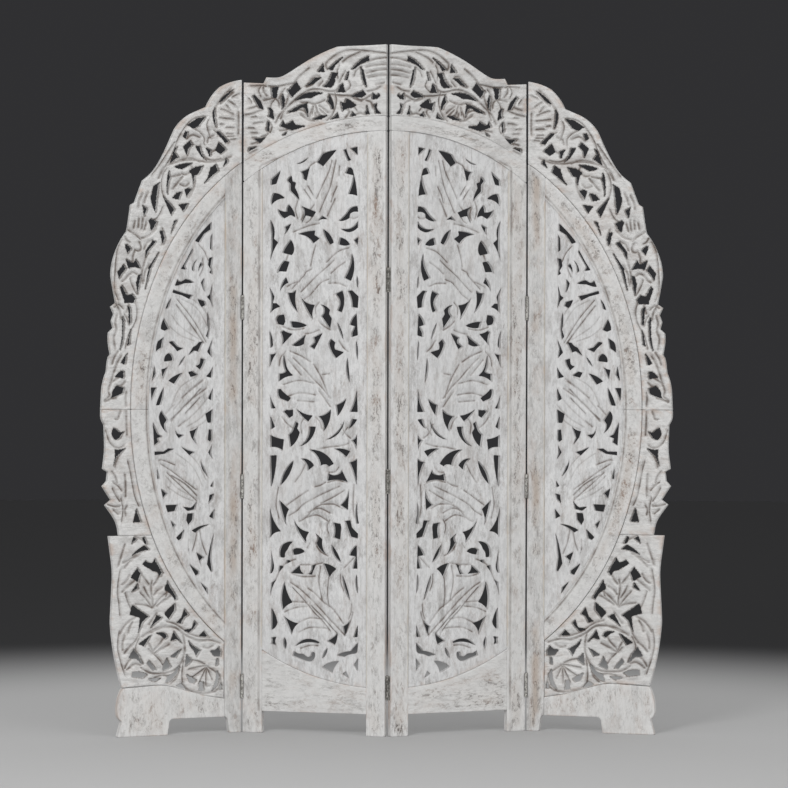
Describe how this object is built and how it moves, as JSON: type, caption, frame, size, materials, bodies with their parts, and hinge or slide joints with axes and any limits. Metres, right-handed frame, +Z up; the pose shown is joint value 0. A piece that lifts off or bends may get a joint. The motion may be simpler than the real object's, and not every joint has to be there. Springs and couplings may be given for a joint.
{
  "type": "folding screen",
  "caption": "Folding room divider with carved, pierced foliage boards in an oval ring, a scalloped border, and hinged leaves that fold zigzag; distressed whitewashed wood.",
  "frame": {"origin": "on the floor, under the middle of the whole screen's bounding box, with the screen standing half folded as in use", "axes": "+X to the screen's right seen from the front, -Y towards the viewer in front, +Z up"},
  "size_m": [1.4942, 0.157, 1.8],
  "materials": {
    "frame_wood": "distressed whitewash, matte",
    "carved_board": "distressed whitewash over carving, matte",
    "jali_board": "whitewash, matte",
    "hinge_leaf": "painted over with the wood's whitewash",
    "hinge_pin": "dull steel"
  },
  "bodies": {
    "inner_left": {"left_inner_centre_stile": "frame_wood", "left_inner_side_stile": "frame_wood", "left_inner_arch_rail": "frame_wood", "left_inner_bottom_rail": "frame_wood", "left_inner_jali_board": "jali_board", "left_inner_crest_board": "carved_board", "left_fold_inner_hinge_leaves": "hinge_leaf", "left_fold_hinge_pins": "hinge_pin", "centre_fold_left_hinge_leaves": "hinge_leaf", "centre_fold_hinge_pins": "hinge_pin"},
    "inner_right": {"right_inner_centre_stile": "frame_wood", "right_inner_side_stile": "frame_wood", "right_inner_arch_rail": "frame_wood", "right_inner_bottom_rail": "frame_wood", "right_inner_jali_board": "jali_board", "right_inner_crest_board": "carved_board", "right_fold_inner_hinge_leaves": "hinge_leaf", "right_fold_hinge_pins": "hinge_pin", "centre_fold_right_hinge_leaves": "hinge_leaf"},
    "outer_left": {"left_outer_stile": "frame_wood", "left_outer_upper_ring_rail": "frame_wood", "left_outer_lower_ring_rail": "frame_wood", "left_outer_jali_board": "jali_board", "left_outer_upper_border": "carved_board", "left_outer_lower_border": "carved_board", "left_outer_corner_board": "carved_board", "left_outer_foot_rail": "frame_wood", "left_fold_outer_hinge_leaves": "hinge_leaf"},
    "outer_right": {"right_outer_stile": "frame_wood", "right_outer_upper_ring_rail": "frame_wood", "right_outer_lower_ring_rail": "frame_wood", "right_outer_jali_board": "jali_board", "right_outer_upper_border": "carved_board", "right_outer_lower_border": "carved_board", "right_outer_corner_board": "carved_board", "right_outer_foot_rail": "frame_wood", "right_fold_outer_hinge_leaves": "hinge_leaf"}
  },
  "joints": [
    {"name": "centre_fold", "type": "hinge", "parent": "inner_left", "child": "inner_right", "pos_m": [0, -0.05829, 0], "axis": [0, 0, 1], "range_deg": [-42, 138]},
    {"name": "left_fold", "type": "hinge", "parent": "inner_left", "child": "outer_left", "pos_m": [-0.37514, 0.05829, 0], "axis": [0, 0, -1], "range_deg": [-138, 42]},
    {"name": "right_fold", "type": "hinge", "parent": "inner_right", "child": "outer_right", "pos_m": [0.37514, 0.05829, 0], "axis": [0, 0, 1], "range_deg": [-138, 42]}
  ]
}
